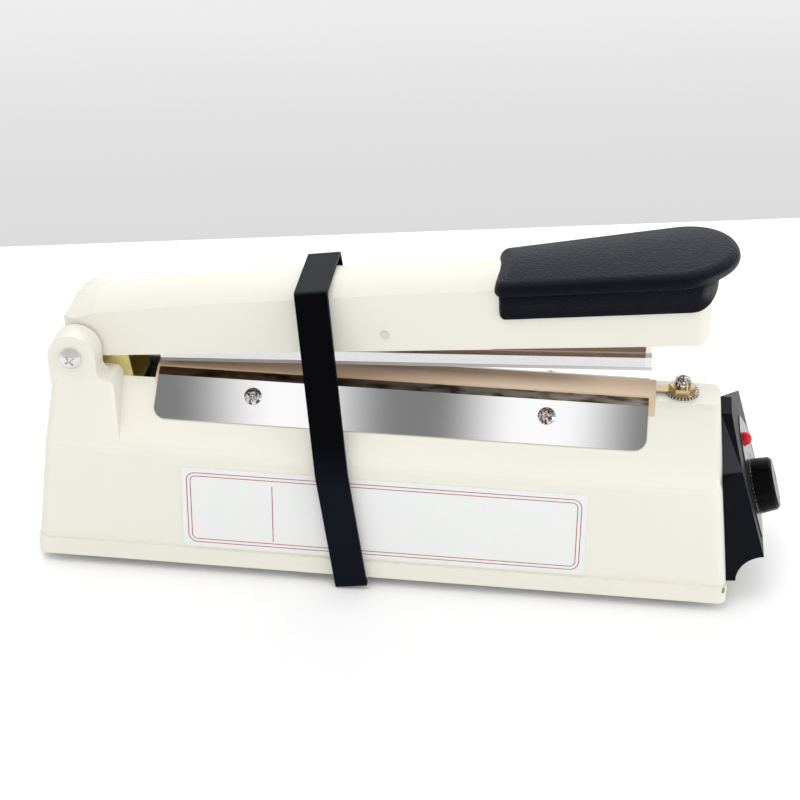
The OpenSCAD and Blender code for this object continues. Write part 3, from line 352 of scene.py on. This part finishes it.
def tint_and_shade_cloth():
    """The tan cloth runs lighter and darker along its length with painted light and shade, painted shade of the
    arm darkens its far edge, most in the middle, and it has a fine weave.
    """
    f = Sums(M["ptfe"])
    a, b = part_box("ptfe_cloth")
    pitch = 0.0011
    # painted light and shade along the cloth's length
    f.mix(1.0, f.ramp(f.x, a.x, b.x, [(0, (0.82, 0.62, 0.42)), (0.42, (0.62, 0.43, 0.27)),
                                      (0.7, (0.78, 0.62, 0.46)), (1, (0.66, 0.51, 0.36))]))
    # painted shade of the arm over the cloth's far edge
    arm_shade_edge = f.share(f.y, -0.0060, 0.0035)
    f.mix(arm_shade_edge, f.ramp(f.x, a.x, b.x, [(0, (0.32, 0.19, 0.11)), (0.45, (0.13, 0.065, 0.030)),
                                           (0.8, (0.31, 0.21, 0.13)), (0.9, (0.54, 0.40, 0.29))]))
    weave = f("MULTIPLY", *(f("SINE", f("MULTIPLY", v, 2 * math.pi / pitch)) for v in (f.x, f.y)))
    f.mix(f("MULTIPLY", f("ABSOLUTE", weave), 0.08), (0.30, 0.20, 0.13))


def mottle_screw_reflections():
    """Dark mottled reflections in the domed heads of the plate and terminal screws."""
    f = Sums(M["cap"])
    f.mix(f.cloud((1100, 1100, 700)), (0.10, 0.055, 0.040))


def cut_washers():
    """Radial serrations of the washers on top of the end block."""
    f = Sums(M["washer"])
    centre_x, plain_r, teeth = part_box("terminal_washers")[1].x - 0.0072, 0.0060, 30.0
    along = f("SUBTRACT", f.x, centre_x)
    tooth = f("GREATER_THAN", f("SINE", f("MULTIPLY", f("ARCTAN2", f.y, along), teeth)), 0.1)
    r = f("SQRT", f("ADD", f("POWER", along, 2.0), f("POWER", f.y, 2.0)))
    f.mix(f("MULTIPLY", tooth, f("GREATER_THAN", r, plain_r)), (0.06, 0.05, 0.045))


def shade_bar():
    """The bar carries painted brown shade and reflection above its ledge towards the free end, under the arm,
    with a lighter painted band low in it, and is bright at the very end.
    """
    f = Sums(M["bar"])
    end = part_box("press_bar")[1].x
    ledge, band_top, band_foot = -0.0056, -0.0038, -0.0042      # square to the arm, from the hinge
    shade_start, shade_full = HINGE.x + 0.128, HINGE.x + 0.150
    bright_start, bright_full = end - 0.0031, end - 0.0028
    height = f("ADD", f("MULTIPLY", f("SUBTRACT", f.x, HINGE.x), -math.sin(REST)),
               f("MULTIPLY", f("SUBTRACT", f.z, HINGE.z), math.cos(REST)))
    arm_shade = f("MULTIPLY", f("GREATER_THAN", height, ledge), f.share(f.x, shade_start, shade_full))
    # painted shade and brown reflection under the arm
    f.mix(arm_shade, (0.16, 0.115, 0.085))
    # lighter painted band low in the shade, down to the ledge
    f.mix(f("MULTIPLY", arm_shade, f.share(height, band_top, band_foot)), (0.46, 0.39, 0.315))
    f.mix(f.share(f.x, bright_start, bright_full), (0.80, 0.77, 0.74))


def shade_strip():
    """The silicone is darker towards the hinge: painted shade where the arm closes over it."""
    f = Sums(M["silicone"])
    f.mix(1.0, f.ramp(f.x, HINGE.x + 0.05, HINGE.x + 0.24, [(0, (0.30, 0.28, 0.26)), (0.6, (0.42, 0.41, 0.39)),
                                                            (1, (0.60, 0.59, 0.57))]))


def paint_sheen_on_blacks():
    """Painted sheen, highlights and light on the black parts: where clip and grip face up, low on the clip, round
    the grip's front rim and on the panel's upper slope."""
    f = Sums(M["clip"])
    # painted sheen where the clip faces up
    f.mix(f.share(f.normal()[2], 0.6, 0.97), (0.024, 0.028, 0.032))
    # painted light low on the clip's sides
    f.mix(f.both(f.share(f.z, FOOT + 0.066, FOOT + 0.045), f("LESS_THAN", f.normal()[2], 0.5)),
          (0.0050, 0.0062, 0.0105))
    f = Sums(M["grip"])
    nx, _, nz = f.normal()
    # painted sheen where the grip faces up
    f.mix(f.share(nz, 0.55, 0.97), (0.0110, 0.0145, 0.0215))
    # painted highlight round the grip's front rim
    f.mix(f.both(f.share(nz, 0.50, 0.20), f.share(nz, -0.35, -0.05), f.share(nx, 0.25, 0.60)),
          (0.046, 0.046, 0.052))
    f = Sums(M["panel"])
    nx, _, nz = f.normal()
    crease, rise, soft = here(146.1, 0, 60.6), 0.43, 0.0003
    height = f("SUBTRACT", f.z, f("MULTIPLY", f("SUBTRACT", f.x, crease[0]), rise))
    # painted light on the panel's upper slope, above its crease
    f.mix(f.both(f.share(height, crease[2] - soft, crease[2] + soft), f.share(nx, 0.92, 0.86),
                 f.share(nz, 0.80, 0.60)), (0.108, 0.105, 0.130))


for finish in (print_label, spot_base, paint_lip_reflections, tint_and_shade_cloth, mottle_screw_reflections, cut_washers, shade_bar,
               shade_strip, paint_sheen_on_blacks):
    finish()

FINISHES = {
    "base": "base_housing", "ivory": "arm_shell", "label": "label_plate", "clip": "transport_clip",
    "steel": "bottom_plate seal_platform hinge_washers bar_bracket press_bar_pin return_spring"
             " potentiometer potentiometer_shaft",
    "screw": "bottom_screws hinge_bolt hinge_nut panel_screws",
    "cap": "terminal_screws cover_plate_screws", "washer": "terminal_washers",
    "polish": "front_cover_plate rear_cover_plate", "bar": "press_bar", "zinc": "lever_bracket",
    "brass": "element_tabs terminal_nuts", "alloy": "heating_element", "ptfe": "ptfe_cloth",
    "silicone": "insulation_strip silicone_strip", "rubber": "rubber_feet", "grip": "handle_grip",
    "inner": "micro_switch cord_grommet", "red": "switch_plunger indicator_lamp",
    "core": "transformer_core", "coil": "transformer_coil", "board": "timer_board",
    "panel": "control_panel", "dial": "dial_plate", "knob": "timer_knob",
}
for key, names in FINISHES.items():
    for name in names.split():
        materials = D.objects[name].data.materials
        materials.clear()
        materials.append(M[key])


# ---- control panel -----------------------------------------------------------------------
def dial_marks():
    """Ticks round the knob, printed on the dial plate."""
    lean = math.radians(17)
    out, up = Vector((math.cos(lean), 0, math.sin(lean))), Vector((-math.sin(lean), 0, math.cos(lean)))
    centre = Vector(here(161.05, 0, 35)) + out * 0.00051
    ticks, step, first, ink, inner_r = 33, 7.5, -120, 0.00004, 0.0134
    verts, faces = [], []
    for i in range(ticks):
        angle = math.radians(first + step * i)
        radial, side = (math.sin(angle), math.cos(angle)), (math.cos(angle), -math.sin(angle))
        outer_r, half = (0.0152, 0.00022) if i % 4 == 0 else (0.0144, 0.00012)
        outline = [(radial[0] * r + side[0] * s * half, radial[1] * r + side[1] * s * half)
                   for r, s in ((inner_r, -1), (outer_r, -1), (outer_r, 1), (inner_r, 1))]
        n, start = len(outline), len(verts)
        for lift in (0.0, ink):
            verts += [centre + Vector((0, y, 0)) + up * z + out * lift for y, z in outline]
        faces.append([start + k for k in reversed(range(n))])
        faces.append([start + n + k for k in range(n)])
        faces += [[start + k, start + (k + 1) % n, start + n + (k + 1) % n, start + n + k] for k in range(n)]
    solid("dial_marks", verts, faces, M["mark"], "base")


def lamp_lens():
    """Round red lens of the lamp, a little larger than the dome it covers."""
    tip = max((v.co for v in D.objects["indicator_lamp"].data.vertices), key=lambda co: co.x)
    r, dome_r, back, lift, rows, turns = 0.0029, 0.0027, 0.0001, 0.0003, 16, 32
    cx, cz = tip.x - dome_r - back, tip.z + lift
    verts = [(cx + r, 0, cz), (cx - r, 0, cz)]
    for i in range(1, rows):
        a = math.pi * i / rows
        verts += [(cx + r * math.cos(a), r * math.sin(a) * math.cos(2 * math.pi * j / turns),
                   cz + r * math.sin(a) * math.sin(2 * math.pi * j / turns)) for j in range(turns)]
    faces = [[0, 2 + j, 2 + (j + 1) % turns] for j in range(turns)]
    for i in range(rows - 2):
        for j in range(turns):
            a, b = 2 + i * turns + j, 2 + i * turns + (j + 1) % turns
            faces.append([a, a + turns, b + turns, b])
    last = 2 + (rows - 2) * turns
    faces += [[1, last + (j + 1) % turns, last + j] for j in range(turns)]
    smooth(solid("lamp_lens", verts, faces, M["red"], "base"))


# ---- arm and grip, in millimetres on the arm ---------------------------------------------
# The grip's pad: rear edge, length, height there, rise, thickness at the rear and at the front
GRIP_X, GRIP_L, GRIP_Z, GRIP_RISE, PAD_REAR, PAD_FRONT = 178.6, 99.3, 32.7, math.radians(6.5), 6.3, 6.6


def mirrored(path):
    """A near-side path of (x, y, outward x, outward y), carried round to the far side."""
    return path + [(x, -y, nx, -ny) for x, y, nx, ny in reversed(path)]


def arc(cx, cy, r, start, end, steps):
    """Arc of a path in plan, in degrees."""
    angles = [math.radians(start + (end - start) * i / steps) for i in range(steps + 1)]
    return [(cx + r * math.cos(a), cy + r * math.sin(a), math.cos(a), math.sin(a)) for a in angles]


def band(name, path, outward, inward, low, high, material):
    """An upright wall on the arm along a path in plan, from low(x) to high(x)."""
    verts, faces, ring = [], [], 7
    for x, y, nx, ny in path:
        outer, inner = (x + outward * nx, y + outward * ny), (x - inward * nx, y - inward * ny)
        verts.append(on_arm(*outer, high(outer[0])))
        for share in (0, 0.25, 0.5, 0.75, 1):
            px, py = (outer[k] * (1 - share) + inner[k] * share for k in (0, 1))
            verts.append(on_arm(px, py, low(px)))
        verts.append(on_arm(*inner, high(inner[0])))
    for i in range(len(path) - 1):
        for k in range(ring):
            a, b = i * ring + k, i * ring + (k + 1) % ring
            faces.append([a, a + ring, b + ring, b])
    faces.append(list(range(ring)))
    faces.append(list(reversed(range((len(path) - 1) * ring, len(path) * ring))))
    return solid(name, verts, faces, material, "arm")


def rounded_up(x, line, start, r):
    """Height of an edge that follows a line and turns up with radius r past a start."""
    past = min(max(x - start, 0.0), r)
    return line(min(x, start)) + r - math.sqrt(r * r - past * past)


def arm_walls():
    """The arm's side walls and end wall at full depth: one skin round the far part of the shell."""
    start, end, half, wall, skin, corner, toe, tuck = 103.5, 267.4, 15.0, 2.6, 0.03, 6.0, 5.0, 0.9
    shoulder = lambda x: 16.15 + x * math.tan(math.radians(4.06))
    lower = lambda x: x * math.tan(math.radians(2.25)) - 5.9
    path = [(start, -half, 0.0, -1.0)] + arc(end - corner, corner - half, corner, -90, 0, 10)
    band("arm_walls", mirrored(path), skin, wall + skin, lambda x: rounded_up(x, lower, end - toe, toe) - skin,
         lambda x: shoulder(x) - tuck, M["ivory"])


def grip_skirt():
    """Sleeve of the grip round the arm, lower edge rounded at both ends."""
    start, end, half, thick = GRIP_X + 2.4, 269.9, 17.0, 1.85
    corner, rear_corner, rear_r, front_r, under_pad = 8.0, 1.8, 3.0, 12.0, 3.0
    edge = lambda x: 16.4 + 4.1 * (x - 184.6) / 66.3

    def low(x):
        back = min(max(start + rear_r - x, 0.0), rear_r)
        return rounded_up(x, edge, end - front_r, front_r) + rear_r - math.sqrt(rear_r * rear_r - back * back)

    path = arc(start + rear_corner, rear_corner - half, rear_corner, -180, -90, 5)
    path += [(x, -half, 0.0, -1.0) for x in (start + 2.2, start + 2.6, start + 3.2)]
    path += [(end - front_r + (front_r - corner) * i / 4, -half, 0.0, -1.0) for i in range(4)]
    path += arc(end - corner, corner - half, corner, -90, 0, 12)
    high = lambda x: GRIP_Z + (x - GRIP_X) * math.tan(GRIP_RISE) - under_pad
    return band("grip_skirt", mirrored(path), 0.0, thick, low, high, M["grip"])


def grip_pad():
    """Tongue-shaped pad of the grip: rounded over at its edge, slightly crowned, wider at the front."""
    length, nose, rear_half, corner = GRIP_L / math.cos(GRIP_RISE), 24.5, 19.0, 5.0
    over, crown, side, ridge_start = 4.5, 1.5, 1.5, 9.0
    rear, front = (corner, corner - rear_half, corner), (length - nose, 0.0, nose)
    (ax, ay, ar), (bx, by, br) = rear, front
    tangent = math.degrees(math.atan2(by - ay, bx - ax) - math.acos((ar - br) / math.hypot(bx - ax, by - ay)))
    arcs = [(rear, -180, tangent, 8), (front, tangent, -tangent, 48), ((ax, -ay, ar), -tangent, 180, 8)]

    def ring(inset):
        return [(cx + (r - inset) * math.cos(math.radians(s + (e - s) * i / n)),
                 cy + (r - inset) * math.sin(math.radians(s + (e - s) * i / n)))
                for (cx, cy, r), s, e, n in arcs for i in range(n + 1)]

    # Levels from the underside, round the edge and over the crown: outline, and height at a distance u
    depth = lambda u: PAD_REAR + (PAD_FRONT - PAD_REAR) * min(max(u / length, 0.0), 1.0)
    levels = [(ring(inset), lambda u, lift=lift: lift - depth(u))
              for inset, lift in ((3.0, 0.0), (1.0, 0.15), (0.25, 0.7), (0.0, side))]
    for a in range(15, 91, 15):
        level = 1 - math.sin(math.radians(a))
        levels.append((ring(over * (1 - math.cos(math.radians(a)))),
                       lambda u, level=level: -(depth(u) - side) * level))
    inner = ring(over)
    ridge = [min(max(u, ridge_start), length - nose) for u, _ in inner]
    for t in (0.2, 0.4, 0.6, 0.8, 0.96):
        levels.append(([(u + (ridge_u - u) * t, v * (1 - t)) for (u, v), ridge_u in zip(inner, ridge)],
                       lambda u, t=t: crown * (1 - (1 - t) ** 2)))
    verts, faces, n = [], [], len(inner)
    for points, height in levels:
        for u, v in points:
            w = height(u)
            verts.append(on_arm(GRIP_X + u * math.cos(GRIP_RISE) - w * math.sin(GRIP_RISE), v,
                                GRIP_Z + u * math.sin(GRIP_RISE) + w * math.cos(GRIP_RISE)))
    for k in range(len(levels) - 1):
        for i in range(n):
            a, b = k * n + i, k * n + (i + 1) % n
            faces.append([a, b, b + n, a + n])
    faces.append(list(reversed(range(n))))
    faces.append(list(range((len(levels) - 1) * n, len(levels) * n)))
    return solid("grip_pad", verts, faces, M["grip"], "arm")


dial_marks()
lamp_lens()
pad = grip_pad()
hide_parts("handle_grip")
smooth(pad)
smooth(grip_skirt())
arm_walls()

# ---- softened edges ----------------------------------------------------------------------
for name, width in (("arm_shell", 0.0005), ("arm_walls", 0.0005), ("base_housing", 0.0004),
                    ("timer_knob", 0.0003), ("transport_clip", 0.0002), ("control_panel", 0.0003)):
    bevel = D.objects[name].modifiers.new("soft edges", "BEVEL")
    bevel.width = width
    bevel.segments = 2
    bevel.limit_method = "ANGLE"
    bevel.angle_limit = math.radians(35)
    bevel.use_clamp_overlap = True

# ---- table and backdrop ------------------------------------------------------------------
EYE = Vector((0.0939757 - MID, -0.7074414, 0.4980638 + FOOT))        # the camera's place
# The table's far edge runs through these two points of the floor, measured off the base
EDGE = (Vector((-0.2622 - MID, 0.2587, 0)), Vector((0.2033 - MID, 0.3581, 0)))
HALF_WIDTH = 3                        # how far the surroundings reach to each side, in metres
TIMES_AWAY = 3                        # how many times as far off as the wall the backdrop stands
half_edge = (EDGE[1] - EDGE[0]).normalized() * HALF_WIDTH
left, right = ((EDGE[0] + EDGE[1]) / 2 + side * half_edge for side in (-1, 1))
forward, wall_top, backdrop_top = Vector((0, -4, 0)), Vector((0, 0, 0.4)), Vector((0, 0, 0.9))
GRADE = (0, 0.16)                     # heights, on the wall, between which the backdrop lightens

stage("table", [left, left + forward, right + forward, right],
      plain("table", (0.93, 0.93, 0.935), rough=0.55, spec=0.2))

# The wall behind the table only lights the object. The backdrop that is seen fills the same place in the
# camera's picture but stands farther off, so it hides no view from behind.
wall = stage("wall", [left, right, right + wall_top, left + wall_top],
             plain("wall", (0.8, 0.8, 0.8), rough=0.9, spec=0.0))
wall.visible_camera = wall.visible_shadow = False


def away(point):
    """The point moved straight away from the camera."""
    return EYE + (point - EYE) * TIMES_AWAY


foot_of_grade, top_of_grade = (away(Vector((0, 0, z))).z for z in GRADE)
backdrop = stage("backdrop", [away(p) for p in (left, right, right + backdrop_top, left + backdrop_top)],
                 glow("backdrop", "Z", foot_of_grade, top_of_grade, [(0, 0.717), (0.5, 0.765), (1, 0.875)]))
backdrop.visible_diffuse = backdrop.visible_glossy = False
backdrop.visible_transmission = backdrop.visible_shadow = False

# ---- light -------------------------------------------------------------------------------
world = D.worlds.new("studio")
bpy.context.scene.world = world
world.use_nodes = True
sky = world.node_tree.nodes["Background"]
sky.inputs["Color"].default_value = (1, 1, 1, 1)
sky.inputs["Strength"].default_value = 0.745


def area(name, place, target, width, depth, watts, glossy):
    light = D.lights.new(name, "AREA")
    light.shape = "RECTANGLE"
    light.size = width
    light.size_y = depth
    light.energy = watts
    o = link(D.objects.new(name, light))
    o.location = place
    o.rotation_euler = (Vector(target) - Vector(place)).to_track_quat("-Z", "Y").to_euler()
    o.visible_glossy = glossy
    o.visible_camera = False


area("key", (-0.3, -0.5, 1.6), (0, 0, 0.05), 1.2, 1.2, 9, False)
area("back", (0.1, 1.5, 0.95), (0, 0, 0.1), 1.8, 0.9, 14, True)
area("right", (1.3, -0.45, 0.45), (0.15, 0, 0.06), 0.5, 0.5, 4.2, True)
area("front", (0.3, -1.8, 0.7), (0, 0, 0.06), 1.6, 0.8, 4.6, False)

# Two softboxes over the base, which the polished plates mirror: middle, half width and falloff along x
SOFTBOXES = ((-0.248, 0.010, 0.112), (0.028, 0.022, 0.092))
ROOM, BOX = 0.20, 0.97                # how bright the room and the softboxes are
BANK_LEFT, BANK_RIGHT, BANK_NEAR, BANK_FAR, BANK_Z = -0.70, 0.30, -1.0, -0.2, 1.2

greys = [(0, ROOM)]
for middle, half, fall in SOFTBOXES:
    greys += [((x - BANK_LEFT) / (BANK_RIGHT - BANK_LEFT), grey)
              for x, grey in ((middle - half - fall, ROOM), (middle - half, BOX),
                              (middle + half, BOX), (middle + half + fall, ROOM))]
bank = stage("bank", [(BANK_LEFT, BANK_NEAR, 0), (BANK_RIGHT, BANK_NEAR, 0),
                      (BANK_RIGHT, BANK_FAR, 0), (BANK_LEFT, BANK_FAR, 0)],
             glow("bank", "X", BANK_LEFT, BANK_RIGHT, greys, "EASE", strength=1.28))
bank.location = (-MID, 0, BANK_Z + FOOT)
bank.visible_camera = bank.visible_diffuse = False
bank.visible_shadow = bank.visible_transmission = False

# The black clip would show in the plate as a dark line that the photo doesn't have
D.objects["transport_clip"].visible_glossy = False

# ---- camera ------------------------------------------------------------------------------
YAW, PITCH, ROLL, FOCAL_PX, PICTURE_PX, SENSOR_MM = 0.1243, 0.544, 0.0019, 1915.6846, 800, 36
camera = link(D.objects.new("camera", D.cameras.new("camera")))
camera.data.sensor_width = SENSOR_MM
camera.data.lens = FOCAL_PX / PICTURE_PX * SENSOR_MM
camera.data.clip_start = 0.05
camera.data.clip_end = 50
camera.location = EYE
view = Vector((-math.sin(YAW) * math.cos(PITCH), math.cos(YAW) * math.cos(PITCH), -math.sin(PITCH)))
camera.rotation_euler = view.to_track_quat("-Z", "Y").to_euler()
camera.rotation_euler.rotate_axis("Z", ROLL)
bpy.context.scene.camera = camera
bpy.context.scene.view_settings.view_transform = "Standard"

bpy.context.view_layer.update()
